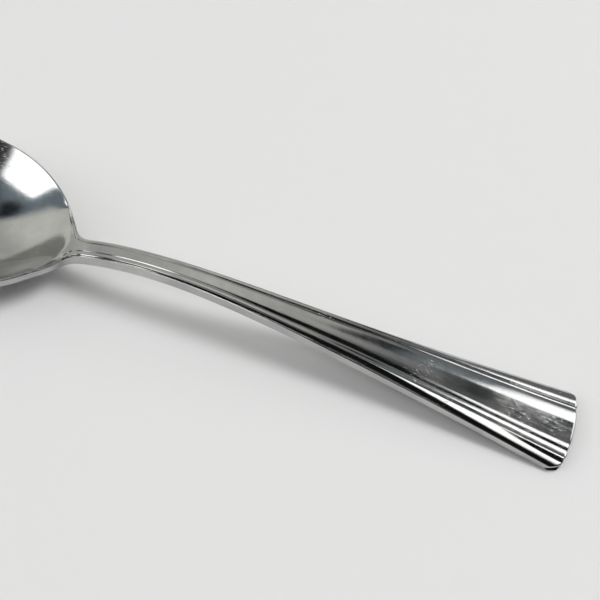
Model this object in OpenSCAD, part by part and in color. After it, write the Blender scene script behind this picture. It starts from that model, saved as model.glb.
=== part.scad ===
// Soup spoon, stamped from one blank of stainless steel.
// Stations are measured from the tip of the bowl along the length of the spoon.
// The spoon lies as on a table: the bowl and the two tail corners touch z = 0.

/* [Bowl] */
// Length from the tip of the bowl to its widest place
bowl_front = 32; // [26:0.5:40]
// Length from the widest place of the bowl to its heel, where the neck starts
bowl_back = 35; // [30:0.5:40]
// Width of the bowl over its rim
bowl_w = 44; // [36:0.5:50]
// Fullness of the bowl behind its widest place, which turns to a taper towards the heel
bowl_full = 0.08; // [0:0.01:0.1]
// Depth of the hollow below the rim
bowl_depth = 9.9; // [8:0.1:14]
// Thickness of the metal at the bottom of the bowl
bowl_t = 1.4; // [1:0.1:2]
// Width of the land on top of the rim, inside its rounded edge
rim_w = 0.2; // [0.1:0.05:0.8]
// Height of the ground edge around the rim
rim_h = 1.7; // [1:0.1:2.2]
// How far the tip of the hollow stops short of the heel
hollow_short = 0.8; // [0:0.1:2]
// Angle around the bowl, from the neck, at which the edge of the hollow leaves the rim for its tip
lip_angle = 31; // [27:1:40]
// Fullness of the hollow towards its tip: 0 runs straight to a point, 1 keeps to the rim's direction
lip_full = 0.2; // [0:0.05:0.6]
// Radius of the shoulders between the bowl and the neck
shoulder_r = 4.7; // [3:0.1:6]
// Length over which the rim runs over into the height and the thickness of the neck
shoulder_run = 9.7; // [8:0.1:12]
// Blend between the outside of the bowl and the underside of the neck
under_blend = 1.6; // [0.8:0.2:2.4]

/* [Neck] */
// Length of the neck from the shoulders to the start of the handle
neck_l = 20; // [14:1:28]
// Height of the side of the neck
neck_t = 3; // [2:0.1:3.6]
// Swell of the underside of the neck below its side edges
neck_belly = 0.3; // [0:0.1:0.6]
// Dip of the neck's bent top edge below the rim at the heel
heel_dip = 1.1; // [0:0.1:1.6]

/* [Handle] */
// Length of neck and handle from the heel of the bowl to the tail
handle_l = 118; // [105:1:140]
// Slope of the straight part of the handle down to the tail, in degrees
handle_slope = 8.65; // [7:0.05:11]
// Length from the heel over which the handle bends
bend_l = 62; // [55:1:80]
// Length of straight sides from the heel to where the handle starts to flare
flare_start = 10.8; // [9:0.1:18]
// Power of the flare: higher keeps the handle slim for longer
flare_power = 1.66; // [1.3:0.02:2]
// Length from the neck's start over which the swell of the underside turns into a hollow
back_run = 60; // [45:1:80]
// Height of the side of the handle at the tail
tail_t = 1.7; // [1.3:0.1:2.2]
// Hollow of the back of the handle above its side edges
back_hollow = 0.7; // [0:0.1:1.2]
// Radius that breaks every long edge
edge_r = 0.35; // [0.2:0.05:0.5]

/* [Flutes] */
// Width of the centre panel at the neck
panel_neck = 1.8; // [1.3:0.1:2.4]
// Width of the centre panel at the tail
panel_tail = 11.5; // [9:0.1:14]
// Width of each rib beside the panel at the neck
rib_neck = 0.65; // [0.5:0.05:1]
// Width of each rib beside the panel at the tail
rib_tail = 2.35; // [1.6:0.05:3.2]
// Width of each outer border at the neck
border_neck = 0.95; // [0.7:0.05:1.2]
// Width of each outer border at the tail
border_tail = 2.95; // [2.4:0.05:4]

/* [Tilts of the flutes] */
// Outward tilt of the panel's edge at the neck, in degrees
panel_tilt_neck = 6.5; // [3:0.5:12]
// Outward tilt of the panel's edge half-way to the tail
panel_tilt_mid = 16; // [10:0.5:20]
// Outward tilt of the panel's edge at the tail
panel_tilt_tail = 14.5; // [8:0.5:20]
// Outward tilt of the rib beside the panel at the neck
rib_in_neck = 37; // [28:0.5:42]
// Outward tilt of the rib beside the panel half-way to the tail
rib_in_mid = 12; // [5:0.5:20]
// Outward tilt of the rib beside the panel at the tail: below zero rises outwards
rib_in_tail = -11.5; // [-16:0.5:0]
// Outward tilt of the rib beside the border at the neck
rib_out_neck = 38.5; // [30:0.5:44]
// Outward tilt of the rib beside the border half-way to the tail
rib_out_mid = 17.5; // [10:0.5:25]
// Outward tilt of the rib beside the border at the tail
rib_out_tail = 9; // [4:0.5:14]
// Outward tilt of the border beside the rib at the neck
border_in_neck = 34.5; // [26:0.5:40]
// Outward tilt of the border beside the rib half-way to the tail
border_in_mid = 31; // [24:0.5:36]
// Outward tilt of the border beside the rib at the tail
border_in_tail = 13.5; // [8:0.5:20]
// Outward tilt of the border's outer edge at the neck
border_out_neck = 37; // [30:0.5:44]
// Outward tilt of the border's outer edge half-way to the tail
border_out_mid = 52; // [42:0.5:56]
// Outward tilt of the border's outer edge at the tail
border_out_tail = 33; // [24:0.5:38]

/* [Tail end] */
// How far the end curves back from its middle to its corners
end_bow = 1.7; // [0.5:0.1:3]
// Depth of the notches where the grooves run out at the end
end_scallop = 0.25; // [0.1:0.05:0.5]
// Radius of the two tail corners
corner_r = 2.4; // [0.8:0.1:3]
// Length over which the stations bend to follow the curve of the end
end_run = 14; // [10:1:20]

/* [Hidden] */
steel = [0.77, 0.78, 0.79];

heel = bowl_front + bowl_back;
overall_l = heel + handle_l;
rim_z = bowl_depth + bowl_t;
neck_half = panel_neck / 2 + rib_neck + border_neck;
tail_half = panel_tail / 2 + rib_tail + border_tail;
flare_from = heel + flare_start;

// Powers that shape the panel, the bow of the tail's end and the bend of the handle
panel_power = 2.65;
bow_power = 3;
bend_power = 3.7;
// Share of the bowl's back at which its fullness turns to a taper
full_turn = 0.45;
// Step in degrees over which the direction of the bowl's outline is taken
normal_step = 0.5;
// Shares of the hollow's tip that lie beside the rim and as far as the neck's side, and least width of that tip
rim_share = 0.42;
tip_share = 0.75;
tip_least = 0.3;
// Length before the heel over which the flutes fade in
fade_run = 4;

// Facets: rows across one lobe, points around the bowl, stations along the lengths
lobe_rows = 4;
border_rows = 5;
bowl_points = 64;
shoulder_points = 7;
neck_stations = 9;
handle_stations = 26;
end_stations = 6;
hollow_rings = [0.16, 0.32, 0.48, 0.64, 0.78, 0.9, 1];
land_rings = [0.5];
under_rings = [0.06, 0.13, 0.21, 0.31, 0.44, 0.58, 0.72, 0.86];

// Plain helpers
function mix(a, b, t) = a + (b - a) * t;
function clamp01(t) = min(max(t, 0), 1);
function smooth(t) = let (u = clamp01(t)) u * u * (3 - 2 * u);
function soft_min(a, b, k) = min(a, b) - pow(max(k - abs(a - b), 0), 2) / (4 * k);
function unit(v) = v / norm(v);

// Shoulder arc: tangent to the bowl's outline and to the side of the neck
function bowl_half(s) =
    let (u = max(s - bowl_front, 0) / bowl_back)
    bowl_w / 2 * (1 + bowl_full * u * u * (1 - pow(u / full_turn, 2)));
function bowl_edge(angle) =
    let (s = bowl_front + (cos(angle) > 0 ? bowl_back : bowl_front) * cos(angle))
    [s, bowl_half(s) * sin(angle)];
function bowl_normal(angle) =
    let (along = bowl_edge(angle + normal_step) - bowl_edge(angle - normal_step))
    unit([along[1], -along[0]]);
function shoulder_centre(angle) = bowl_edge(angle) + shoulder_r * bowl_normal(angle);
function tangent_angle(low, high, steps) =
    steps == 0 ? low :
    let (middle = (low + high) / 2)
    shoulder_centre(middle)[1] < neck_half + shoulder_r
        ? tangent_angle(middle, high, steps - 1)
        : tangent_angle(low, middle, steps - 1);
shoulder_angle = tangent_angle(0, 80, 40);
shoulder_mid = shoulder_centre(shoulder_angle);
neck_from = shoulder_mid[0];
handle_from = neck_from + neck_l;

// Flare of the handle: 0 at the neck, 1 at the tail
function flare(s) = pow(max(s - flare_from, 0) / (overall_l - flare_from), flare_power);
function panel_half(s) = mix(panel_neck, panel_tail, flare(s)) / 2;
function rib_end(s) = panel_half(s) + mix(rib_neck, rib_tail, flare(s));
function half_width(s) = mix(neck_half, tail_half, flare(s));

// Height of the top side edges along the spoon: the level rim, the shoulders, the bend, the straight handle
corner_station = overall_l - end_bow - end_scallop - corner_r;
function straight_z(s) = tail_t - rest_drop + tan(handle_slope) * (corner_station - s);
function bent_z(s) = straight_z(s) - bend_drop * pow(max(heel + bend_l - s, 0) / bend_l, bend_power);
function neck_share(s) = smooth((s - neck_from + shoulder_run) / shoulder_run);
function edge_z(s) = mix(rim_z, bent_z(s), neck_share(s));

// Cross-section: flutes on top, side height, belly or hollow underneath.
// Each tilt runs smoothly through its values at the neck, half-way and at the tail.
function slope(s, at_neck, half_way, at_tail) =
    let (t = clamp01((s - neck_from) / (overall_l - neck_from)))
    tan(at_neck * (1 - t) * (1 - 2 * t) + half_way * 4 * t * (1 - t) + at_tail * t * (2 * t - 1));
function panel_slope(s) = slope(s, panel_tilt_neck, panel_tilt_mid, panel_tilt_tail);
function rib_slopes(s) = [
    slope(s, rib_in_neck, rib_in_mid, rib_in_tail),
    slope(s, rib_out_neck, rib_out_mid, rib_out_tail)
];
function border_slopes(s) = [
    slope(s, border_in_neck, border_in_mid, border_in_tail),
    slope(s, border_out_neck, border_out_mid, border_out_tail)
];
// Drop from the inner side of a lobe whose slope changes evenly across it
function drop(part, width, slopes) =
    let (t = clamp01(part))
    width * (slopes[0] * t + (slopes[1] - slopes[0]) * t * t / 2);
function across(s, y) = min(abs(y) / half_width(s), 1);
function arch(s, y) =
    let (
        a = abs(y),
        groove_1 = panel_half(s),
        rib_w = rib_end(s) - groove_1,
        border_w = half_width(s) - edge_r - rib_end(s),
        panel_rise = panel_slope(s) * groove_1 / panel_power,
        crown = panel_rise + drop(1, rib_w, rib_slopes(s)) + drop(1, border_w, border_slopes(s))
    )
    crown - panel_rise * pow(min(a / groove_1, 1), panel_power)
        - drop((a - groove_1) / rib_w, rib_w, rib_slopes(s))
        - drop((a - rib_end(s)) / border_w, border_w, border_slopes(s));
function side_h(s) = mix(neck_t, tail_t, smooth((s - neck_from) / (corner_station - neck_from)));
function under_arch(s, y) =
    mix(-neck_belly, back_hollow, smooth((s - neck_from) / back_run)) * (1 - pow(across(s, y), 2));
function handle_top(s, y) = edge_z(s) + arch(s, y);
function handle_under(s, y) = edge_z(s) - side_h(s) + under_arch(s, y);

// Rows across a section, kept on the same lobe at every station
half_rows = concat(
    [for (i = [1 : lobe_rows]) [0, i / lobe_rows]],
    [for (i = [1 : lobe_rows]) [1, i / lobe_rows]],
    [for (i = [1 : border_rows]) [2, i / border_rows]]
);
rows = concat(
    [for (i = [len(half_rows) - 1 : -1 : 0]) concat(half_rows[i], -1)],
    [[0, 0, 1]],
    [for (r = half_rows) concat(r, 1)]
);
function row_y(row, s) = row[2] * (
    row[0] == 0 ? row[1] * panel_half(s) :
    row[0] == 1 ? mix(panel_half(s), rib_end(s), row[1]) :
    mix(rib_end(s), half_width(s) - edge_r, row[1])
);

// How far each row stands back from the plane of the tail
function corner_back(y) =
    let (over = max(abs(y) - (tail_half - corner_r), 0))
    corner_r - sqrt(max(corner_r * corner_r - over * over, 0));
function row_back(row) =
    let (y = row_y(row, overall_l), t = row[0] == 0 ? row[1] : 2 * row[1] - 1)
    end_bow * pow(abs(y) / tail_half, bow_power) + end_scallop * (row[1] == 0 ? 0 : t * t) + corner_back(y);
edge_back = end_bow + end_scallop + corner_r;

// Lowest place of the underside at the end, against its corners: the spoon rests on it
function end_under(row) =
    let (s = overall_l - edge_r - row_back(row))
    tan(handle_slope) * (corner_station - s) + tail_t - side_h(s) + under_arch(s, row_y(row, s));
rest_drop = min([for (r = rows) end_under(r)]);
// Drop from the straight line of the handle to the bent top edge at the heel
bend_drop = straight_z(heel) - rim_z + heel_dip;

// One closed section: top rows, right edge, under rows back, left edge.
// bend moves each row back along the end's curve and tuck thins the end to round it.
edge_turns = [30, 60, 90];
function station(s, bend, back) = s - bend * back;
function top_point(s, row, bend, tuck) =
    let (at = station(s, bend, row_back(row)), y = row_y(row, at))
    [at, y, handle_top(at, y) - tuck];
function under_point(s, row, bend, tuck) =
    let (at = station(s, bend, row_back(row)), y = row_y(row, at))
    [at, y, handle_under(at, y) + tuck];
function edge_points(s, side, bend, tuck) =
    let (
        last = rows[len(rows) - 1],
        back = row_back(last),
        top = top_point(s, last, bend, tuck),
        under = under_point(s, last, bend, tuck),
        turn_back = [for (a = edge_turns) mix(back, edge_back, 1 - cos(a))],
        swing = [for (i = [0 : len(edge_turns) - 1]) [
            station(s, bend, turn_back[i]), side * (top[1] + edge_r * sin(edge_turns[i])),
            edge_r * (1 - cos(edge_turns[i]))
        ]],
        down = [for (p = swing) [p[0], p[1], top[2] - p[2]]],
        up = [for (i = [len(swing) - 1 : -1 : 0]) [swing[i][0], swing[i][1], under[2] + swing[i][2]]]
    )
    side > 0 ? concat(down, up) : [for (i = [len(down) * 2 - 1 : -1 : 0]) concat(down, up)[i]];
function section(s, bend = 0, tuck = 0) = concat(
    [for (r = rows) top_point(s, r, bend, tuck)],
    edge_points(s, 1, bend, tuck),
    [for (i = [len(rows) - 1 : -1 : 0]) under_point(s, rows[i], bend, tuck)],
    edge_points(s, -1, bend, tuck)
);

// Faces between closed loops of n points each, and caps that close a section
function tube_faces(loops, n) = [
    for (k = [0 : loops - 2], i = [0 : n - 1])
        let (j = (i + 1) % n, a = k * n + i, b = k * n + j, c = b + n, d = a + n)
        each [[a, b, c], [a, c, d]]
];
function section_cap(first) =
    let (m = len(rows), e = 2 * len(edge_turns), left = first + 2 * m + e - 1)
    concat(
        [for (i = [0 : m - 2])
            let (a = first + i, b = a + 1, c = first + 2 * m + e - 2 - i, d = c + 1)
            each [[a, c, b], [a, d, c]]],
        [for (i = [0 : e - 1]) [first + m - 1, first + m + i + 1, first + m + i]],
        [for (i = [0 : e - 1]) [first, left + i + 1, left + i]]
    );
function flipped(faces) = [for (f = faces) [f[0], f[2], f[1]]];

// Moves a point from stations to the spoon's own frame, centred along its length
function placed(p) = [p[0] - overall_l / 2, p[1], p[2]];

module loft(sections) {
    n = len(sections[0]);
    count = len(sections);
    polyhedron(
        points = [for (ring = sections, p = ring) placed(p)],
        faces = concat(
            tube_faces(count, n),
            section_cap(0),
            flipped(section_cap((count - 1) * n))
        ),
        convexity = 6
    );
}

// Bowl: land and hollow on top, dish underneath
fade_from = heel - fade_run;
function fade(s) = smooth((s - fade_from) / (neck_from - fade_from));
function land_z(s, y) = edge_z(s) + fade(s) * arch(s, y);
function dish_length(s) = s > bowl_front ? bowl_back : bowl_front;
function dish_reach(s, y) = pow((s - bowl_front) / dish_length(s), 2) + pow(y / bowl_half(s), 2);
function bowl_under(s, y) = soft_min(
    (rim_z - rim_h) * dish_reach(s, y),
    edge_z(s) - mix(rim_h, side_h(s), neck_share(s)) + fade(s) * under_arch(s, y),
    under_blend * min(dish_reach(s, y), 1)
);

// Edge of the hollow: beside the rim, then along a smooth curve to its tip
hollow_tip = heel - hollow_short;
function hollow_side(angle) = bowl_edge(angle) - (edge_r + rim_w) * bowl_normal(angle);
lip_start = hollow_side(lip_angle);
lip_run = (hollow_tip - lip_start[0]) / bowl_normal(lip_angle)[1];
lip_corner = [hollow_tip, max(lip_start[1] - lip_run * bowl_normal(lip_angle)[0], tip_least)];
lip_bend = mix((lip_start + [hollow_tip, 0]) / 2, lip_corner, lip_full);
function hollow_end(q, side) =
    let (p = pow(1 - q, 2) * lip_start + 2 * q * (1 - q) * lip_bend + q * q * [hollow_tip, 0])
    [p[0], side * p[1]];
function hollow_at(angle) =
    let (turn = min(angle, 360 - angle), side = angle < 180 ? 1 : -1)
    turn > lip_angle
        ? hollow_side(angle)
        : hollow_end(rim_share * (lip_angle - turn) / (lip_angle - shoulder_angle), side);

// Points around the bowl: [outline point, outward normal, point on the hollow's edge, on the neck's face]
arc_to = -90;
arc_start = bowl_edge(shoulder_angle) - shoulder_mid;
arc_from = atan2(arc_start[1], arc_start[0]);
function arc_unit(t) = let (a = mix(arc_from, arc_to, t)) [cos(a), sin(a)];
shoulder = [for (i = [1 : shoulder_points])
    let (t = i / shoulder_points, lip = hollow_end(mix(rim_share, tip_share, t), 1))
    [shoulder_mid + shoulder_r * arc_unit(t), -arc_unit(t), lip, false]];
rim = [for (i = [0 : bowl_points]) let (a = mix(shoulder_angle, 360 - shoulder_angle, i / bowl_points))
    [bowl_edge(a), bowl_normal(a), hollow_at(a), false]];
face = [for (i = [1 : len(rows) - 2])
    let (y = row_y(rows[i], neck_from), q = mix(1, tip_share, abs(y) / (neck_half - edge_r)))
    [[neck_from, y], [1, 0], hollow_end(q, sign(y)), true]];
around = concat(
    face,
    [for (i = [shoulder_points - 1 : -1 : 0]) shoulder[i]],
    rim,
    [for (p = shoulder) [[p[0][0], -p[0][1]], [p[1][0], -p[1][1]], [p[2][0], -p[2][1]], false]]
);
function inset(p) = p[3] ? p[0] : p[0] - edge_r * p[1];
function flat_mix(a, b, t) = a + (b - a) * t;
function hollow_ring(f, p) =
    let (xy = flat_mix([bowl_front, 0], p[2], f))
    [xy[0], xy[1], land_z(xy[0], xy[1]) - bowl_depth * (1 - f * f)];
function land_ring(t, p) = let (xy = flat_mix(p[2], inset(p), t)) [xy[0], xy[1], land_z(xy[0], xy[1])];
function under_ring(t, from, to) = let (xy = flat_mix(from, to, t)) [xy[0], xy[1], bowl_under(xy[0], xy[1])];
function edge_ring(p, turn, from_top) =
    let (
        xy = inset(p),
        out = p[3] ? [0, 0] : edge_r * sin(turn) * p[1],
        fall = edge_r * (1 - cos(turn)),
        top = land_z(xy[0], xy[1]),
        under = bowl_under(xy[0], xy[1])
    )
    [xy[0] + out[0], xy[1] + out[1], from_top ? top - fall : under + fall];

module bowl() {
    middle = [bowl_front, 0];
    count = len(around);
    rings = concat(
        [for (f = hollow_rings) [for (p = around) hollow_ring(f, p)]],
        [for (f = land_rings) [for (p = around) land_ring(f, p)]],
        [for (turn = concat(0, edge_turns)) [for (p = around) edge_ring(p, turn, true)]],
        [for (i = [len(edge_turns) - 1 : -1 : 0]) [for (p = around) edge_ring(p, edge_turns[i], false)]],
        [for (f = concat(0, under_rings)) [for (p = around) under_ring(f, inset(p), middle)]]
    );
    last = (len(rings) - 1) * count;
    top_middle = len(rings) * count;
    color(steel)
        polyhedron(
            points = [for (p = concat(
                [for (ring = rings, q = ring) q],
                [[bowl_front, 0, bowl_t], [bowl_front, 0, 0]]
            )) placed(p)],
            faces = concat(
                tube_faces(len(rings), count),
                [for (i = [0 : count - 1]) [top_middle, (i + 1) % count, i]],
                [for (i = [0 : count - 1]) [top_middle + 1, last + i, last + (i + 1) % count]]
            ),
            convexity = 6
        );
}

module neck() {
    color(steel)
        loft([for (i = [0 : neck_stations]) section(neck_from + neck_l * i / neck_stations)]);
}

// The last stations bend to the curve of the end, and the end itself is rounded
module handle() {
    straight_to = overall_l - end_run;
    straight = [for (i = [0 : handle_stations])
        section(mix(handle_from, straight_to, i / handle_stations))];
    curved = [for (i = [1 : end_stations]) let (t = i / end_stations)
        section(mix(straight_to, overall_l - edge_r, t), bend = t * t)];
    rounded = [for (a = edge_turns)
        section(overall_l - edge_r * (1 - sin(a)), bend = 1, tuck = edge_r * (1 - cos(a)))];
    color(steel)
        loft(concat(straight, curved, rounded));
}

bowl();
neck();
handle();
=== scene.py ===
"""Soup spoon of polished steel: its surfaces, a plain studio and the camera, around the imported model."""
import math

import bmesh
import bpy
import numpy as np
from mathutils import Matrix, Vector


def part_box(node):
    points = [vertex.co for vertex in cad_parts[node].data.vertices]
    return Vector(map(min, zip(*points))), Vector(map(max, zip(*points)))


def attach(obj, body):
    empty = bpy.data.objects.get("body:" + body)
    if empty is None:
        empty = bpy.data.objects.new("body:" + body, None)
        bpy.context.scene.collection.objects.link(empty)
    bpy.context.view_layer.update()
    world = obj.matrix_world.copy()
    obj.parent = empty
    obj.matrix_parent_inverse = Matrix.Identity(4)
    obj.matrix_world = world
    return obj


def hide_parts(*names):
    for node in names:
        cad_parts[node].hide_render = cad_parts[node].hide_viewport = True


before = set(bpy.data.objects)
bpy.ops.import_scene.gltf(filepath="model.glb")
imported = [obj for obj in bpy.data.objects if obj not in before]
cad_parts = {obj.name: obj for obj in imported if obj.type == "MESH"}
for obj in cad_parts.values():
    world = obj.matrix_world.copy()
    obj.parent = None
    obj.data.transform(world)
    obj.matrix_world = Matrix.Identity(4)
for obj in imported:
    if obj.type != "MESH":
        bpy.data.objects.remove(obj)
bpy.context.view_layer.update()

# Sizes in millimetres. Stations are measured from the tip of the bowl along the spoon.
MM = 0.001
TIP_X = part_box("bowl")[0].x
NECK_FROM = (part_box("neck")[0].x - TIP_X) / MM
HANDLE_FROM = (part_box("handle")[0].x - TIP_X) / MM
OVERALL_L = (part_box("handle")[1].x - TIP_X) / MM

# Bowl: half lengths, width, depth and sheet, and the flat width and the height of its rim
BOWL_FRONT = 32.0
BOWL_BACK = 35.0
BOWL_W = 44.0
BOWL_DEPTH = 9.9
BOWL_T = 1.4
RIM_W = 0.2
RIM_H = 1.7
# How much fuller than an ellipse its back half is, and the share of its length beyond which it is slimmer
BOWL_FULL = 0.08
FULL_TURN = 0.45
# Shoulders: the arc between bowl and neck, and the run over which the rim turns into the neck's edge
SHOULDER_R = 4.7
SHOULDER_RUN = 9.7
# The hollow's edge leaves the rim at this angle round the bowl and curves to a tip short of the heel
LIP_ANGLE = math.radians(31)
LIP_FULL = 0.2
HOLLOW_SHORT = 0.8
TIP_LEAST = 0.3
# Share of that curve that lies beside the rim; the rest lies beside the shoulder's arc
RIM_SHARE = 0.42
# How closely the step from the land to the dish keeps to the hollow's edge
WALL_POWER = 40
# Underside: rounding between dish and shank, and the run over which the neck's belly starts
UNDER_BLEND = 1.6
FADE_RUN = 4.0

# Neck: thickness, belly underneath, and how far below the rim its line starts at the heel
NECK_T = 3.0
NECK_BELLY = 0.3
HEEL_DIP = 1.1

# Handle: slope of its straight part, its bend, and the flare of its outline and of the lines on it
HANDLE_SLOPE = math.radians(8.65)
BEND_L = 62.0
BEND_POWER = 3.7
FLARE_START = 10.8
FLARE_POWER = 1.66
LINE_FLARE_POWER = 1.58
# Thickness at the tail, hollow of the back, and the run over which the neck's belly turns into it
TAIL_T = 1.7
BACK_HOLLOW = 0.7
BACK_RUN = 60.0
EDGE_R = 0.25

# Widths of the centre panel, of each rib and of each border, at the neck and at the tail
PANEL_NECK, PANEL_TAIL = 2.4, 11.5
RIB_NECK, RIB_TAIL = 0.85, 2.35
BORDER_NECK, BORDER_TAIL = 0.45, 2.95
# Outward tilts of the top, in degrees, at the neck, half-way to the tail and at the tail
PANEL_EDGE_TILT = (9.0, 16.5, 16.0)
RIB_IN_TILT = (0.0, -18.0, -14.0)
RIB_OUT_TILT = (8.0, 8.0, 14.0)
BORDER_IN_TILT = (45.0, 38.0, 14.0)
BORDER_OUT_TILT = (54.0, 62.0, 54.0)
# At the tail the border keeps flat and turns down near its outer edge
BORDER_TAIL_POWER = 3.0
# The upper edge starts level at the neck and this steep, in degrees, a run further on
EDGE_START, EDGE_RUN = 50.0, 35.0
# The panel falls from its crown with this power of the distance from its middle
PANEL_POWER = 2.65
# Half width and depth of the groove beside the panel and of the one beside the border
INNER_GROOVE = (0.28, 0.085)
OUTER_GROOVE = (0.15, 0.04)
# Stations between which the grooves fade into plain creases
GROOVE_FADE = (100.0, 135.0)

# Tail: bow of its end, depth of its scallops, its corners, and the run over which the rows bend with it
END_BOW = 1.7
BOW_POWER = 3
END_SCALLOP = 0.25
CORNER_R = 2.4
END_RUN = 14.0

HEEL = BOWL_FRONT + BOWL_BACK
RIM_Z = BOWL_DEPTH + BOWL_T
NECK_HALF = PANEL_NECK / 2 + RIB_NECK + BORDER_NECK
TAIL_HALF = PANEL_TAIL / 2 + RIB_TAIL + BORDER_TAIL
FLARE_FROM = HEEL + FLARE_START
HOLLOW_TIP = HEEL - HOLLOW_SHORT
CORNER_STATION = OVERALL_L - END_BOW - END_SCALLOP - CORNER_R

# Mesh rows across half a section, one count for each span between its anchors
SPAN_ROWS = [16, 10, 8, 8, 12]
EDGE_TURNS = np.radians([18, 36, 54, 72, 90])
UNDER_ROWS = 12
NECK_STATIONS = 40
HANDLE_STATIONS = 130
END_STATIONS = 30
HEEL_COLUMNS = 12
SHOULDER_COLUMNS = 30
RIM_COLUMNS = 110
HOLLOW_RINGS = 60
UNDER_RINGS = 40
# The hollow's rings lie closer together near its edge
HOLLOW_RING_POWER = 1.6
# Places across the tail at which its lowest point is looked for
REST_PLACES = 200
# Largest angle and number of halvings in the search for the end of the shoulder's arc
SHOULDER_MOST = math.radians(80)
SHOULDER_HALVINGS = 60
# Step to either side for the direction of the bowl's outline
OUTLINE_STEP = math.radians(0.5)
# Digits of a millimetre to which points are welded, and to which they are matched between pieces
WELD_DIGITS = 5
MATCH_DIGITS = 4
# Least values to divide by
TINY_BLEND = 1e-9
TINY_AREA = 1e-12


# Plain helpers
def mix(a, b, t):
    return a + (b - a) * t


def smooth(t):
    u = np.clip(t, 0, 1)
    return u * u * (3 - 2 * u)


def soft_min(a, b, k):
    return np.minimum(a, b) - np.clip(k - np.abs(a - b), 0, None) ** 2 / (4 * np.maximum(k, TINY_BLEND))


# Widths and heights along the handle
def flare(s, power=FLARE_POWER):
    return (np.clip(s - FLARE_FROM, 0, None) / (OVERALL_L - FLARE_FROM)) ** power


def panel_half(s):
    return mix(PANEL_NECK, PANEL_TAIL, flare(s, LINE_FLARE_POWER)) / 2


def rib_end(s):
    return mix(PANEL_NECK / 2 + RIB_NECK, PANEL_TAIL / 2 + RIB_TAIL, flare(s, LINE_FLARE_POWER))


def half_width(s):
    return mix(NECK_HALF, TAIL_HALF, flare(s))


def end_back(y):
    """How far a place across the tail stands back from the plane of its tip."""
    a = np.abs(y)
    groove_1, groove_2, last = PANEL_TAIL / 2, PANEL_TAIL / 2 + RIB_TAIL, TAIL_HALF - EDGE_R
    in_lobe = np.select(
        [a < groove_1, a < groove_2],
        [a / groove_1, 2 * (a - groove_1) / (groove_2 - groove_1) - 1],
        2 * np.minimum(a - groove_2, last - groove_2) / (last - groove_2) - 1,
    )
    over = np.clip(a - (TAIL_HALF - CORNER_R), 0, CORNER_R)
    corner = CORNER_R - np.sqrt(CORNER_R ** 2 - over ** 2)
    return END_BOW * (a / TAIL_HALF) ** BOW_POWER + END_SCALLOP * in_lobe ** 2 + corner


def side_h(s):
    return mix(NECK_T, TAIL_T, smooth((s - NECK_FROM) / (CORNER_STATION - NECK_FROM)))


def under_arch(s, y):
    across = np.minimum(np.abs(y) / half_width(s), 1)
    return mix(-NECK_BELLY, BACK_HOLLOW, smooth((s - NECK_FROM) / BACK_RUN)) * (1 - across ** 2)


def rest_drop():
    """Lowest place of the underside at the end against its corners: the spoon rests on it."""
    part = np.linspace(0, 1, REST_PLACES)
    s = OVERALL_L - EDGE_R - end_back(part * (TAIL_HALF - EDGE_R))
    y = part * (half_width(s) - EDGE_R)
    return np.min(math.tan(HANDLE_SLOPE) * (CORNER_STATION - s) + TAIL_T - side_h(s) + under_arch(s, y))


STRAIGHT_FROM = TAIL_T - rest_drop()


def straight_z(s):
    return STRAIGHT_FROM + math.tan(HANDLE_SLOPE) * (CORNER_STATION - s)


BEND_DROP = straight_z(HEEL) - RIM_Z + HEEL_DIP


def bent_z(s):
    return straight_z(s) - BEND_DROP * (np.clip(HEEL + BEND_L - s, 0, None) / BEND_L) ** BEND_POWER


def neck_share(s):
    return smooth((s - NECK_FROM + SHOULDER_RUN) / SHOULDER_RUN)


def edge_z(s):
    return mix(RIM_Z, bent_z(s), neck_share(s))


# Cross-section: panel, ribs and borders on top, a side, a belly or hollow underneath
def along(s):
    """0 at the neck, 1 half-way and 2 at the tail."""
    return 2 * (s - NECK_FROM) / (OVERALL_L - NECK_FROM)


def slope_at(s, tilts):
    """Slope of the top from tilts at the neck, half-way and at the tail."""
    neck, half_way, tail = tilts
    tilt = mix(mix(neck, half_way, smooth(along(s))), tail, smooth(along(s) - 1))
    return np.tan(np.radians(tilt))


def groove(s, a, at, size):
    half, depth = size
    left = 1 - smooth((s - GROOVE_FADE[0]) / (GROOVE_FADE[1] - GROOVE_FADE[0]))
    return left * depth * np.clip(1 - ((a - at) / half) ** 2, 0, None) ** 2


def fall(part, width, slope_in, slope_out, power=1.0):
    """Drop from the inner end of a lobe whose slope changes across it, later with a higher power."""
    return width * (slope_in * part + (slope_out - slope_in) * part ** (power + 1) / (power + 1))


def arch(s, y):
    """Height of the top above the side edges."""
    a = np.abs(y)
    groove_1, groove_2, last = panel_half(s), rib_end(s), half_width(s) - EDGE_R
    panel_rise = slope_at(s, PANEL_EDGE_TILT) * groove_1 / PANEL_POWER
    rib = (groove_2 - groove_1, slope_at(s, RIB_IN_TILT), slope_at(s, RIB_OUT_TILT))
    border_power = mix(1.0, BORDER_TAIL_POWER, smooth(along(s) - 1))
    border = (last - groove_2, slope_at(s, BORDER_IN_TILT), slope_at(s, BORDER_OUT_TILT), border_power)
    in_panel = np.minimum(a / groove_1, 1)
    in_rib = np.clip((a - groove_1) / (groove_2 - groove_1), 0, 1)
    in_border = np.clip((a - groove_2) / (last - groove_2), 0, 1)
    crown = panel_rise + fall(1, *rib) + fall(1, *border)
    drop = panel_rise * in_panel ** PANEL_POWER + fall(in_rib, *rib) + fall(in_border, *border)
    return crown - drop - groove(s, a, groove_1, INNER_GROOVE) - groove(s, a, groove_2, OUTER_GROOVE)


def handle_top(s, y):
    return edge_z(s) + arch(s, y)


def handle_under(s, y):
    return edge_z(s) - side_h(s) + under_arch(s, y)


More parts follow.
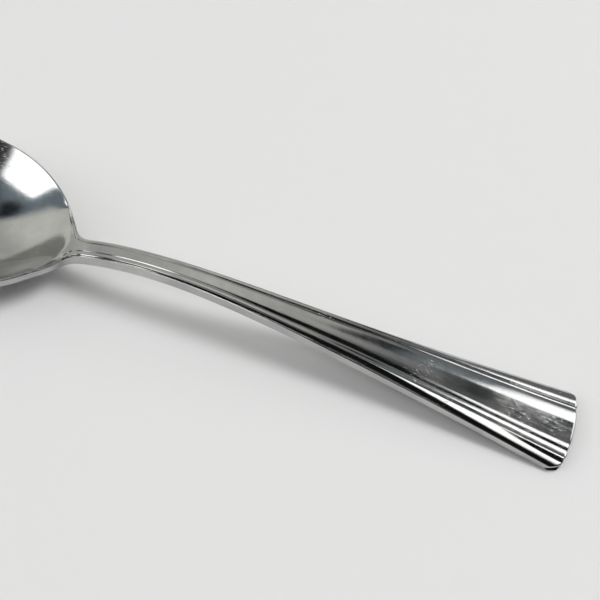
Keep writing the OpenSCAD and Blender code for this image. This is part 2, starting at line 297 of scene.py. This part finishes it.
# Rows across half a section: they keep to the grooves at every station
def anchors(s):
    """Distances from the middle between which the rows are spread."""
    s = np.asarray(s, float)
    inner, outer = INNER_GROOVE[0], OUTER_GROOVE[0]
    return np.stack([
        0 * s, panel_half(s) - inner, panel_half(s) + inner,
        rib_end(s) - outer, rib_end(s) + outer, half_width(s) - EDGE_R,
    ], -1)


def half_rows():
    return np.concatenate([
        *[k + np.arange(n) / n for k, n in enumerate(SPAN_ROWS)], [len(SPAN_ROWS)],
    ])


ROWS = half_rows()
ROW_SPAN = np.minimum(ROWS.astype(int), len(SPAN_ROWS) - 1)
ROW_PART = ROWS - ROW_SPAN


def row_y(s):
    """Distance from the middle of every row, where s holds one station for each row."""
    a = anchors(s)
    pick = np.arange(len(ROWS))
    return mix(a[pick, ROW_SPAN], a[pick, ROW_SPAN + 1], ROW_PART)


def half_ring(s, bend=0.0, tuck=0.0):
    """Right half of a section from the middle of its top round to the middle of its underside."""
    tail = np.full(len(ROWS), OVERALL_L)
    at = s - bend * end_back(row_y(tail))
    y = row_y(at)
    top = np.stack([at, y, handle_top(at, y) - tuck], -1)

    # Edges: an upper arc from its starting slope to upright, and a quarter circle below
    turn_y = TAIL_HALF - EDGE_R + EDGE_R * np.sin(EDGE_TURNS)
    turn_at = s - bend * end_back(turn_y)
    start = math.radians(EDGE_START) * smooth((turn_at - NECK_FROM) / EDGE_RUN)
    turn = mix(start, math.pi / 2, EDGE_TURNS / (math.pi / 2))
    grow = EDGE_R / (1 - np.sin(start))
    out = half_width(turn_at) - grow * (1 - np.sin(turn))
    down = np.stack([turn_at, out, edge_z(turn_at) - tuck - grow * (np.cos(start) - np.cos(turn))], -1)
    low_out = half_width(turn_at) - EDGE_R * (1 - np.sin(EDGE_TURNS))
    low_rise = EDGE_R * (1 - np.cos(EDGE_TURNS))
    up = np.stack([turn_at, low_out, edge_z(turn_at) - side_h(turn_at) + tuck + low_rise], -1)[::-1]

    part = np.linspace(1, 0, UNDER_ROWS + 1)
    under_at = s - bend * end_back(part * (TAIL_HALF - EDGE_R))
    under_y = part * (half_width(under_at) - EDGE_R)
    under = np.stack([under_at, under_y, handle_under(under_at, under_y) + tuck], -1)
    return np.concatenate([top, down, up, under])


def mirrored(points):
    return points * np.array([1, -1, 1])


# A shell gathers patches of a closed surface and welds them
class Shell:
    def __init__(self):
        self.points = []
        self.faces = []
        self.cap_faces = []
        self.count = 0

    def grid(self, points, cap=False):
        """Quads between the rows and columns of an array of points."""
        rows, columns = points.shape[:2]
        index = self.count + np.arange(rows * columns).reshape(rows, columns)
        quads = np.stack([index[:-1, :-1], index[1:, :-1], index[1:, 1:], index[:-1, 1:]], -1)
        self.points.append(points.reshape(-1, 3))
        self.count += rows * columns
        (self.cap_faces if cap else self.faces).append(quads.reshape(-1, 4))

    def both_sides(self, points):
        self.grid(points)
        self.grid(mirrored(points)[:, ::-1])

    def welded(self):
        points = np.concatenate(self.points)
        whole, index = np.unique(np.round(points, WELD_DIGITS) + 0.0, axis=0, return_inverse=True)
        index = index.reshape(-1)
        faces, caps = (index[np.concatenate(group)] for group in (self.faces, self.cap_faces))
        return whole, faces, caps


def add_cap(shell, ring):
    """Closes a section with triangles between its top rows and the rest of its outline."""
    top = ring[:len(ROWS)]
    rest = ring[len(ROWS):][::-1]
    low = np.floor(np.linspace(0, len(rest) - 1, len(top))).astype(int)
    for side in (1, -1):
        flip = np.array([1, side, 1])
        tris = []
        for i in range(len(top) - 1):
            tris.append([top[i], top[i + 1], rest[low[i]]])
            for j in range(low[i], low[i + 1]):
                tris.append([top[i + 1], rest[j + 1], rest[j]])
        for a, b, c in tris:
            shell.grid(np.array([[a, b], [c, c]]) * flip, cap=True)


def loft(rings):
    shell = Shell()
    shell.both_sides(np.stack(rings))
    add_cap(shell, rings[0])
    add_cap(shell, rings[-1])
    return shell


def neck_shell():
    return loft([half_ring(s) for s in np.linspace(NECK_FROM, HANDLE_FROM, NECK_STATIONS + 1)])


def handle_shell():
    bend_from = OVERALL_L - END_RUN
    rings = [half_ring(s) for s in np.linspace(HANDLE_FROM, bend_from, HANDLE_STATIONS + 1)]
    for t in np.linspace(0, 1, END_STATIONS + 1)[1:]:
        rings.append(half_ring(mix(bend_from, OVERALL_L - EDGE_R, t), t * t))
    for turn in EDGE_TURNS:
        s = OVERALL_L - EDGE_R * (1 - math.sin(turn))
        rings.append(half_ring(s, 1.0, EDGE_R * (1 - math.cos(turn))))
    return loft(rings)


# Bowl: outline, land between the outline and the hollow, hollow, edge and underside
def bowl_half(s):
    u = np.clip(s - BOWL_FRONT, 0, None) / BOWL_BACK
    return BOWL_W / 2 * (1 + BOWL_FULL * u ** 2 * (1 - (u / FULL_TURN) ** 2))


def bowl_edge(angle):
    s = BOWL_FRONT + np.where(np.cos(angle) > 0, BOWL_BACK, BOWL_FRONT) * np.cos(angle)
    return np.stack([s, bowl_half(s) * np.sin(angle)], -1)


def bowl_normal(angle):
    chord = bowl_edge(angle + OUTLINE_STEP) - bowl_edge(angle - OUTLINE_STEP)
    v = np.stack([chord[..., 1], -chord[..., 0]], -1)
    return v / np.linalg.norm(v, axis=-1, keepdims=True)


def shoulder_centre(angle):
    return bowl_edge(angle) + SHOULDER_R * bowl_normal(angle)


def shoulder_tangent():
    """Angle on the bowl at which the shoulder's arc leaves its outline."""
    low, high = 0.0, SHOULDER_MOST
    for _ in range(SHOULDER_HALVINGS):
        middle = (low + high) / 2
        inside = shoulder_centre(np.array(middle))[1] < NECK_HALF + SHOULDER_R
        low, high = (middle, high) if inside else (low, middle)
    return np.array(low)


SHOULDER = shoulder_tangent()


def hollow_side(angle):
    return bowl_edge(angle) - (EDGE_R + RIM_W) * bowl_normal(angle)


def hollow_end(q):
    """Edge of the hollow from where it leaves the rim, at 0, along a smooth curve to its tip, at 1."""
    start = hollow_side(np.array(LIP_ANGLE))
    normal = bowl_normal(np.array(LIP_ANGLE))
    tip = np.array([HOLLOW_TIP, 0.0])
    run = (HOLLOW_TIP - start[0]) / normal[1]
    corner = np.array([HOLLOW_TIP, max(start[1] - run * normal[0], TIP_LEAST)])
    bend = mix((start + tip) / 2, corner, LIP_FULL)
    q = np.asarray(q)[..., None]
    return (1 - q) ** 2 * start + 2 * q * (1 - q) * bend + q ** 2 * tip


def bowl_columns():
    """Outline point, outward normal, inner point and whether that lies on the hollow, from neck to tip."""
    centre = shoulder_centre(SHOULDER)
    leave = bowl_edge(SHOULDER) - centre
    arc = np.linspace(-math.pi / 2, math.atan2(leave[1], leave[0]), SHOULDER_COLUMNS + 1)
    unit = np.stack([np.cos(arc), np.sin(arc)], -1)
    column = np.arange(SHOULDER_COLUMNS + 1)
    along_heel = np.clip(column / HEEL_COLUMNS, 0, 1)
    along_tip = np.clip((column - HEEL_COLUMNS) / (SHOULDER_COLUMNS - HEEL_COLUMNS), 0, 1)
    angle = np.linspace(SHOULDER, math.pi, RIM_COLUMNS + 1)[1:]
    outline = np.concatenate([centre + SHOULDER_R * unit, bowl_edge(angle)])
    normal = np.concatenate([-unit, bowl_normal(angle)])
    middle_line = np.stack([mix(NECK_FROM, HOLLOW_TIP, along_heel), 0 * along_heel], -1)
    at_hollow = column >= HEEL_COLUMNS
    beside_arc = hollow_end(mix(1, RIM_SHARE, along_tip))
    beside_rim = hollow_end(RIM_SHARE * np.clip((LIP_ANGLE - angle) / (LIP_ANGLE - SHOULDER), 0, 1))
    inner = np.concatenate([
        np.where(at_hollow[:, None], beside_arc, middle_line),
        np.where((angle > LIP_ANGLE)[:, None], hollow_side(angle), beside_rim),
    ])
    return outline, normal, inner, np.concatenate([at_hollow, np.ones(RIM_COLUMNS, bool)])


def dish_reach(s, y, inset=0.0):
    length = np.where(s > BOWL_FRONT, BOWL_BACK, BOWL_FRONT) - inset
    return ((s - BOWL_FRONT) / length) ** 2 + (y / (bowl_half(s) - inset)) ** 2


def hollow_z(s, y):
    return RIM_Z - BOWL_DEPTH * (1 - dish_reach(s, y, EDGE_R + RIM_W))


def fade(s):
    start = HEEL - FADE_RUN
    return smooth((s - start) / (NECK_FROM - start))


def bowl_under(s, y):
    dish = (RIM_Z - RIM_H) * dish_reach(s, y)
    shank = edge_z(s) - mix(RIM_H, side_h(s), neck_share(s)) + fade(s) * under_arch(s, y)
    return soft_min(dish, shank, UNDER_BLEND * np.minimum(dish_reach(s, y), 1))


def land_points(outline, normal, inner):
    """Rows from the middle outwards on the land of every column: the flutes follow the outline."""
    neck = row_y(np.full(len(ROWS), NECK_FROM))
    outer = outline - EDGE_R * normal
    width = np.linalg.norm(outer - inner, axis=-1)[:, None]
    full = NECK_HALF - EDGE_R
    panel = PANEL_NECK / 2
    # Distance from the outer edge: ribs and border keep their width, the panel takes up the rest
    kept = np.minimum(1, width / full) * (full - panel)
    from_edge = np.where(
        neck >= panel,
        (full - neck) / (full - panel) * kept,
        kept + (panel - neck) / panel * (width - kept),
    )
    xy = outer[:, None] + (inner - outer)[:, None] * (from_edge / width)[..., None]
    rise = arch(np.full_like(neck, NECK_FROM), neck)
    z = edge_z(xy[..., 0]) + np.minimum(1, width / full) * rise
    return np.concatenate([xy, z[..., None]], -1)


def bowl_shell():
    shell = Shell()
    outline, normal, inner, on_hollow = bowl_columns()
    land = land_points(outline, normal, inner)
    shell.both_sides(land)

    # Hollow: rings from its edge to the middle, closer together near the edge
    lip = land[on_hollow, 0]
    f = 1 - np.linspace(0, 1, HOLLOW_RINGS + 1)[:, None] ** HOLLOW_RING_POWER
    s = mix(BOWL_FRONT, lip[:, 0], f)
    y = lip[:, 1] * f
    wall = (lip[:, 2] - hollow_z(lip[:, 0], lip[:, 1])) * f ** WALL_POWER
    shell.both_sides(np.stack([s, y, hollow_z(s, y) + wall], -1))

    # Edge and underside, with the underside of the neck's face among its columns
    outer = outline - EDGE_R * normal
    top_z = land[:, -1, 2]
    low_z = bowl_under(outer[:, 0], outer[:, 1])
    rings = [land[:, -1]]
    for turn in EDGE_TURNS:
        xy = outer + EDGE_R * math.sin(turn) * normal
        rings.append(np.column_stack([xy, top_z - EDGE_R * (1 - math.cos(turn))]))
    for turn in np.concatenate([EDGE_TURNS[::-1], [0]]):
        xy = outer + EDGE_R * math.sin(turn) * normal
        rings.append(np.column_stack([xy, low_z + EDGE_R * (1 - math.cos(turn))]))
    shell.both_sides(np.stack(rings))

    face_y = np.linspace(0, NECK_HALF - EDGE_R, UNDER_ROWS + 1)[:-1]
    face = np.stack([np.full(UNDER_ROWS, NECK_FROM), face_y], -1)
    around = np.concatenate([face, outer])
    f = np.linspace(1, 0, UNDER_RINGS + 1)[:, None]
    s = mix(BOWL_FRONT, around[:, 0], f)
    y = around[:, 1] * f
    shell.both_sides(np.stack([s, y, bowl_under(s, y)], -1))
    add_cap(shell, half_ring(NECK_FROM))
    return shell


# Meshes: metres in the spoon's own frame, with one set of smooth normals over all pieces
def clean_faces(faces):
    """Face corners with repeats taken out."""
    out = []
    for f in faces.tolist():
        corners = [v for i, v in enumerate(f) if v != f[i - 1]]
        if len(set(corners)) >= 3:
            out.append(corners)
    return out


def placed(points):
    return points * MM + np.array([TIP_X, 0, 0])


def make_piece(name, shell, material):
    points, faces, caps = shell.welded()
    sides = clean_faces(faces)
    ends = clean_faces(caps)
    mesh = bpy.data.meshes.new(name)
    mesh.from_pydata(placed(points).tolist(), [], sides + ends)
    is_cap = mesh.attributes.new("is_cap", "BOOLEAN", "FACE")
    is_cap.data.foreach_set("value", np.arange(len(sides) + len(ends)) >= len(sides))
    work = bmesh.new()
    work.from_mesh(mesh)
    bmesh.ops.recalc_face_normals(work, faces=work.faces)
    work.to_mesh(mesh)
    work.free()
    mesh.polygons.foreach_set("use_smooth", np.ones(len(mesh.polygons), bool))
    mesh.materials.append(material)
    piece = bpy.data.objects.new(name, mesh)
    bpy.context.scene.collection.objects.link(piece)
    return piece


def vertex_keys(mesh):
    """Places of the vertices in millimetres, rounded so that points of two pieces can be matched."""
    places = np.zeros(len(mesh.vertices) * 3)
    mesh.vertices.foreach_get("co", places)
    return np.round(places.reshape(-1, 3) / MM, MATCH_DIGITS) + 0.0


def share_normals(pieces):
    """Smooth normals that carry on from piece to piece, and flat ones on the faces where pieces meet."""
    keys, vectors = [], []
    for piece in pieces:
        mesh = piece.data
        key = vertex_keys(mesh)
        for face in mesh.polygons:
            if not mesh.attributes["is_cap"].data[face.index].value:
                for v in face.vertices:
                    keys.append(key[v])
                    vectors.append(face.normal * face.area)
    keys = np.array(keys)
    vectors = np.array(vectors)
    places, index = np.unique(keys, axis=0, return_inverse=True)
    index = index.reshape(-1)
    total = np.stack([np.bincount(index, vectors[:, k]) for k in range(3)], -1)
    total /= np.maximum(np.linalg.norm(total, axis=1, keepdims=True), TINY_AREA)
    lookup = {tuple(p): n for p, n in zip(places.tolist(), total.tolist())}
    for piece in pieces:
        mesh = piece.data
        key = vertex_keys(mesh)
        normals = []
        for face in mesh.polygons:
            flat = mesh.attributes["is_cap"].data[face.index].value
            for v in face.vertices:
                normals.append(face.normal if flat else lookup[tuple(key[v].tolist())])
        mesh.normals_split_custom_set([tuple(n) for n in normals])


# Nodes of the steel and of the world
def math_node(tree, operation, *values):
    node = tree.nodes.new("ShaderNodeMath")
    node.operation = operation
    for socket, value in zip(node.inputs, values):
        tree.links.new(value, socket)
    return node.outputs["Value"]


# Steel: polished, with hairlines along the spoon, smudges, pits and small scratches
STEEL_DARK = (0.43, 0.435, 0.435, 1)
STEEL_LIGHT = (0.55, 0.55, 0.54, 1)
# Sizes of the patterns, as features a metre along x, y and z or the same all ways
HAIRLINE_STRETCH = (60, 2600, 2600)
SCRATCH_STRETCH = (160, 5200, 5200)
SCRATCH_TURN = math.radians(28)
SMUDGE_SCALE = 110.0
PIT_SCALE = 900.0
SCRATCHED_SCALE = 150.0
# How much a pattern's finer layers count
FINE_SHARE = 0.55
PIT_FINE_SHARE = 0.65
# Parts of a pattern's range that are drawn out
TINT_RANGE = (0.35, 0.65)
SMUDGE_RANGE = (0.4, 0.7)
HAIRLINE_RANGE = (0.3, 0.7)
SCRATCH_RANGE = (0.64, 0.70)
SCRATCHED_RANGE = (0.57, 0.65)
# Roughness and heights that the wear gives the surface; heights count in bump distances, in metres
SMUDGE_ROUGHNESS = (0.045, 0.11)
HAIRLINE_ROUGHNESS = (0.0, 0.05)
SCRATCH_ROUGHNESS = (0.0, 0.25)
PIT_HEIGHT = (0.0, 0.8)
SCRATCH_DEPTH = (0.0, 1.2)
BUMP_STRENGTH = 0.8
BUMP_DISTANCE = 0.000004


def steel_material():
    material = bpy.data.materials.new("polished_steel")
    material.use_nodes = True
    tree = material.node_tree
    nodes = tree.nodes
    links = tree.links
    shader = nodes["Principled BSDF"]
    shader.inputs["Metallic"].default_value = 1.0
    coordinates = nodes.new("ShaderNodeTexCoord")

    def noise(detail, scale=1.0, stretch=(1, 1, 1), turn=0.0, roughness=FINE_SHARE):
        mapping = nodes.new("ShaderNodeMapping")
        mapping.inputs["Scale"].default_value = stretch
        mapping.inputs["Rotation"].default_value = (0, 0, turn)
        links.new(coordinates.outputs["Object"], mapping.inputs["Vector"])
        node = nodes.new("ShaderNodeTexNoise")
        node.inputs["Scale"].default_value = scale
        node.inputs["Detail"].default_value = detail
        node.inputs["Roughness"].default_value = roughness
        links.new(mapping.outputs["Vector"], node.inputs["Vector"])
        return node.outputs["Fac"]

    def ranged(value, source=(0.0, 1.0), target=(0.0, 1.0)):
        node = nodes.new("ShaderNodeMapRange")
        for name, limit in zip(("From Min", "From Max", "To Min", "To Max"), (*source, *target)):
            node.inputs[name].default_value = limit
        links.new(value, node.inputs["Value"])
        return node.outputs["Result"]

    hairlines = noise(detail=3.0, stretch=HAIRLINE_STRETCH)
    smudges = noise(detail=5.0, scale=SMUDGE_SCALE)
    pits = noise(detail=3.0, scale=PIT_SCALE, roughness=PIT_FINE_SHARE)
    scratch_lines = noise(detail=2.0, stretch=SCRATCH_STRETCH, turn=SCRATCH_TURN)
    scratched_places = noise(detail=1.0, scale=SCRATCHED_SCALE)
    scratches = math_node(
        tree, "MULTIPLY", ranged(scratch_lines, SCRATCH_RANGE), ranged(scratched_places, SCRATCHED_RANGE)
    )

    tint = nodes.new("ShaderNodeValToRGB")
    for stop, position, colour in zip(tint.color_ramp.elements, TINT_RANGE, (STEEL_DARK, STEEL_LIGHT)):
        stop.position = position
        stop.color = colour
    links.new(smudges, tint.inputs["Fac"])
    links.new(tint.outputs["Color"], shader.inputs["Base Color"])

    smudged = ranged(smudges, SMUDGE_RANGE, SMUDGE_ROUGHNESS)
    brushed = ranged(hairlines, HAIRLINE_RANGE, HAIRLINE_ROUGHNESS)
    worn = math_node(tree, "ADD", smudged, brushed)
    roughness = math_node(tree, "ADD", worn, ranged(scratches, target=SCRATCH_ROUGHNESS))
    links.new(roughness, shader.inputs["Roughness"])

    raised = math_node(tree, "ADD", hairlines, ranged(pits, target=PIT_HEIGHT))
    height = math_node(tree, "SUBTRACT", raised, ranged(scratches, target=SCRATCH_DEPTH))
    bump = nodes.new("ShaderNodeBump")
    bump.inputs["Strength"].default_value = BUMP_STRENGTH
    bump.inputs["Distance"].default_value = BUMP_DISTANCE
    links.new(height, bump.inputs["Height"])
    links.new(bump.outputs["Normal"], shader.inputs["Normal"])
    return material


steel = steel_material()
pieces = [
    make_piece("bowl_shell", bowl_shell(), steel),
    make_piece("neck_shank", neck_shell(), steel),
    make_piece("fluted_handle", handle_shell(), steel),
]
share_normals(pieces)
for piece, node in zip(pieces, ("bowl", "neck", "handle")):
    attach(piece, "root")
    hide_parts(node)


# Floor: a plain pale table that keeps the spoon's shadow; its half width is in metres
FLOOR_HALF = 3.0
FLOOR_COLOUR = (0.8, 0.8, 0.8, 1)
FLOOR_ROUGHNESS = 0.9


def floor_material():
    material = bpy.data.materials.new("pale_table")
    material.use_nodes = True
    shader = material.node_tree.nodes["Principled BSDF"]
    shader.inputs["Base Color"].default_value = FLOOR_COLOUR
    shader.inputs["Roughness"].default_value = FLOOR_ROUGHNESS
    shader.inputs["Specular IOR Level"].default_value = 0.0
    return material


def make_floor():
    mesh = bpy.data.meshes.new("table")
    corners = [(-FLOOR_HALF, -FLOOR_HALF, 0), (FLOOR_HALF, -FLOOR_HALF, 0),
               (FLOOR_HALF, FLOOR_HALF, 0), (-FLOOR_HALF, FLOOR_HALF, 0)]
    mesh.from_pydata(corners, [], [(0, 1, 2, 3)])
    mesh.materials.append(floor_material())
    table = bpy.data.objects.new("table", mesh)
    bpy.context.scene.collection.objects.link(table)


make_floor()


# Studio: a grey room with dark parts and white windows, as the steel mirrors it
# Zones have straight edges: corners in degrees to the side, towards +X, and degrees of climb from the far
# horizon over the top, listed anticlockwise. A later zone lies over an earlier one.

# Share of the light that the steel sends back, and offset and power of the display's curve
STEEL_MIRRORS = 0.5
DISPLAY_OFFSET = 0.055
DISPLAY_POWER = 2.4


def shown(value):
    """Linear light that shows as this display value on the steel."""
    return ((value + DISPLAY_OFFSET) / (1 + DISPLAY_OFFSET)) ** DISPLAY_POWER / STEEL_MIRRORS


# Colours are display values, as they show on the steel
ROOM = (0.46, 0.46, 0.45)
WHITE = (1.12, 1.12, 1.12)
DARK = (0.06, 0.06, 0.06)
NEAR_GREY = (0.57, 0.57, 0.56)
STREAK_GREY = (0.24, 0.25, 0.25)
ZONES = [
    # name, softness in degrees, colour, corners
    ("far_wall", 6, (0.57, 0.57, 0.555), [(-50, -40), (60, -40), (60, 105), (-50, 105)]),
    ("far_glow", 4, (0.65, 0.65, 0.635), [(-8, 43), (7, 43), (7, 67), (-8, 67)]),
    ("near_wall", 6, NEAR_GREY, [(-30, 92), (8, 92), (8, 175), (-30, 175)]),
    ("left_wall", 5, (0.67, 0.67, 0.65), [(-80, -30), (-41, -30), (-41, 95), (-80, 95)]),
    ("left_low", 0.8, (0.435, 0.435, 0.42), [(-110, -60), (4.5, -60), (-71, 77), (-110, 77)]),
    ("left_ceiling", 5, (0.36, 0.40, 0.425), [(-37, 71), (-30, 74), (-30, 150), (-110, 150), (-110, 138)]),
    ("left_dark", 4, (0.11, 0.12, 0.13), [(-43, 77), (-36, 75), (-36, 94), (-41, 97), (-48, 90)]),
    ("window_glow", 4, (0.5, 0.54, 0.56), [(-50, 98), (-32, 114.5), (-32, 146), (-83, 146)]),
    ("left_streaks", 2, STREAK_GREY, [(-32.5, 112), (-26, 112), (-26, 160), (-32.5, 160)]),
    ("left_corner", 2, STREAK_GREY, [(-37, 96), (-26, 96), (-26, 117), (-33, 117)]),
    ("left_window", 1.5, WHITE, [(-49.5, 100.5), (-32.8, 116.5), (-32.8, 142), (-78, 142)]),
    ("far_low", 2, (0.36, 0.36, 0.36), [(8, -5), (110, -5), (110, 29), (10, 29)]),
    ("far_dark", 2.5, (0.16, 0.16, 0.16), [(0, 12), (8, 12), (10, 32), (1, 32)]),
    ("right_slab", 0.7, (0.37, 0.39, 0.40), [(11.2, 27), (110, 27), (110, 54), (11.2, 54)]),
    ("slab_edge", 0.7, (0.14, 0.15, 0.15), [(10.3, 32), (13.5, 36), (14.5, 54.5), (10.3, 54.5)]),
    ("right_shade", 2.5, (0.42, 0.42, 0.42), [(11.5, 54), (110, 54), (110, 70), (11.5, 70)]),
    ("right_wall", 1.5, (0.19, 0.2, 0.2), [(17, 49.5), (110, 49.5), (110, 76), (18.5, 76)]),
    ("right_upper", 3.5, (0.3, 0.3, 0.3), [(12, 63), (110, 61), (110, 76), (12, 78)]),
    ("window_slant", 0.8, WHITE, [(21.2, 49), (30, 49), (30, 66), (23.3, 66)]),
    ("far_window", 0.7, WHITE, [(18.1, 30), (32, 30), (32, 49.3), (19.5, 49.1), (18.2, 48.3)]),
    ("overhead", 2, DARK, [(-3, 74), (12.5, 68), (18.6, 77.5), (18.6, 92), (-3, 108)]),
    ("top_left", 2, DARK, [(-9, 76), (-2, 74), (-2, 92), (-9, 92)]),
    ("groove_shade", 1.5, DARK, [(2.5, 90), (16, 90), (12, 112), (2.5, 118)]),
    ("top_strip", 1.1, WHITE, [(18.8, 74.6), (32, 74), (32, 84), (21, 81), (18.8, 77.5)]),
    ("top_shade", 1.2, DARK, [(15, 80.7), (110, 83.5), (110, 91.5), (15, 91.5)]),
    ("near_lamp", 2, WHITE, [(-28, 104), (-10, 104), (-8, 120), (-28, 121)]),
    ("near_window", 1.5, WHITE, [(16.5, 93), (23, 93), (14.6, 123), (10.2, 130), (12.3, 108)]),
    ("near_shade", 3, (0.14, 0.14, 0.14), [(-32, 127), (6, 127), (6, 174), (-32, 174)]),
    ("near_dark", 2, DARK, [(-6, 133), (110, 126), (110, 179), (-6, 179)]),
    ("near_side", 1.5, DARK, [(23.4, 93), (110, 93), (110, 133), (12.9, 133)]),
    ("near_edge", 1, NEAR_GREY, [(0.8, 179), (2.4, 171.8), (6.2, 167), (20, 165), (20, 181), (0.8, 181)]),
    ("near_sill", 2, (1.5, 1.5, 1.5), [(-40, 174.5), (-2, 174.5), (-2, 182), (-40, 182)]),
]


# Sockets of a Mix node for its two colours and its result
MIX_UNDER, MIX_OVER, MIX_RESULT = 6, 7, 2


def make_world():
    world = bpy.data.worlds.new("studio")
    bpy.context.scene.world = world
    world.use_nodes = True
    tree = world.node_tree
    nodes = tree.nodes
    links = tree.links

    direction = nodes.new("ShaderNodeTexCoord")
    split = nodes.new("ShaderNodeSeparateXYZ")
    links.new(direction.outputs["Generated"], split.inputs["Vector"])
    side = math_node(tree, "ARCSINE", split.outputs["X"])
    climb = math_node(tree, "ARCTAN2", split.outputs["Z"], split.outputs["Y"])
    # Side, climb and 1: the 1 takes up how far an edge lies from the middle
    place = nodes.new("ShaderNodeCombineXYZ")
    links.new(math_node(tree, "DEGREES", side), place.inputs["X"])
    links.new(math_node(tree, "DEGREES", climb), place.inputs["Y"])
    place.inputs["Z"].default_value = 1

    def inside_edge(start, end, softness):
        """1 on the left of a line between two corners, 0 on its right."""
        run = Vector(end) - Vector(start)
        across = Vector((-run.y, run.x)).normalized()
        distance = nodes.new("ShaderNodeVectorMath")
        distance.operation = "DOT_PRODUCT"
        distance.inputs[1].default_value = (across.x, across.y, -across.dot(Vector(start)))
        links.new(place.outputs["Vector"], distance.inputs[0])
        step = nodes.new("ShaderNodeMapRange")
        step.interpolation_type = "SMOOTHSTEP"
        step.inputs["From Min"].default_value = -softness
        step.inputs["From Max"].default_value = softness
        links.new(distance.outputs["Value"], step.inputs["Value"])
        return step.outputs["Result"]

    colour = None
    for name, softness, value, corners in ZONES:
        mask = None
        for start, end in zip(corners, corners[1:] + corners[:1]):
            edge = inside_edge(start, end, softness)
            mask = edge if mask is None else math_node(tree, "MULTIPLY", mask, edge)
        node = nodes.new("ShaderNodeMix")
        node.data_type = "RGBA"
        node.name = name
        links.new(mask, node.inputs["Factor"])
        if colour is None:
            node.inputs[MIX_UNDER].default_value = (*[shown(v) for v in ROOM], 1)
        else:
            links.new(colour, node.inputs[MIX_UNDER])
        node.inputs[MIX_OVER].default_value = (*[shown(v) for v in value], 1)
        colour = node.outputs[MIX_RESULT]
    links.new(colour, nodes["Background"].inputs["Color"])


make_world()


# Overhead softbox, to the far right, in metres and watts; it lights the table and isn't mirrored
SOFTBOX_SIZE = 1.28
SOFTBOX_POWER = 53
SOFTBOX_PLACE = (1.3, 0.7, 2.9)
SOFTBOX_AIM = (0.02, 0, 0)


def make_softbox():
    lamp = bpy.data.lights.new("overhead_softbox", "AREA")
    lamp.shape = "SQUARE"
    lamp.size = SOFTBOX_SIZE
    lamp.energy = SOFTBOX_POWER
    softbox = bpy.data.objects.new("overhead_softbox", lamp)
    softbox.location = SOFTBOX_PLACE
    aim = Vector(SOFTBOX_AIM) - softbox.location
    softbox.rotation_euler = aim.to_track_quat("-Z", "Y").to_euler()
    softbox.visible_glossy = False
    bpy.context.scene.collection.objects.link(softbox)


make_softbox()


# Camera: fitted to the spoon's edges; degrees and millimetres, with the target measured from the tip
CAMERA_AZIMUTH = 3.702
CAMERA_ELEVATION = 54.585
CAMERA_ROLL = 15.166
CAMERA_DISTANCE = 339.634
CAMERA_TARGET = (117.822, 6.907, 8.0)
FOCAL_PIXELS = 1513.339
PICTURE_PIXELS = 600
SENSOR_WIDTH = 36.0
# Nearest distance that is drawn, in metres
CLIP_START = 0.01


def make_camera():
    azimuth, elevation, roll = np.radians([CAMERA_AZIMUTH, CAMERA_ELEVATION, CAMERA_ROLL])
    forward = np.array([
        -math.sin(azimuth) * math.cos(elevation),
        math.cos(azimuth) * math.cos(elevation),
        -math.sin(elevation),
    ])
    level = np.array([math.cos(azimuth), math.sin(azimuth), 0])
    upward = np.cross(level, forward)
    right = level * math.cos(roll) + upward * math.sin(roll)
    up = -level * math.sin(roll) + upward * math.cos(roll)
    place = placed(np.array(CAMERA_TARGET)) - forward * CAMERA_DISTANCE * MM
    data = bpy.data.cameras.new("camera")
    data.sensor_width = SENSOR_WIDTH
    data.lens = FOCAL_PIXELS * SENSOR_WIDTH / PICTURE_PIXELS
    data.clip_start = CLIP_START
    camera = bpy.data.objects.new("camera", data)
    camera.matrix_world = Matrix((
        (right[0], up[0], -forward[0], place[0]),
        (right[1], up[1], -forward[1], place[1]),
        (right[2], up[2], -forward[2], place[2]),
        (0, 0, 0, 1),
    ))
    bpy.context.scene.collection.objects.link(camera)
    bpy.context.scene.camera = camera


make_camera()
bpy.context.scene.view_settings.view_transform = "Standard"
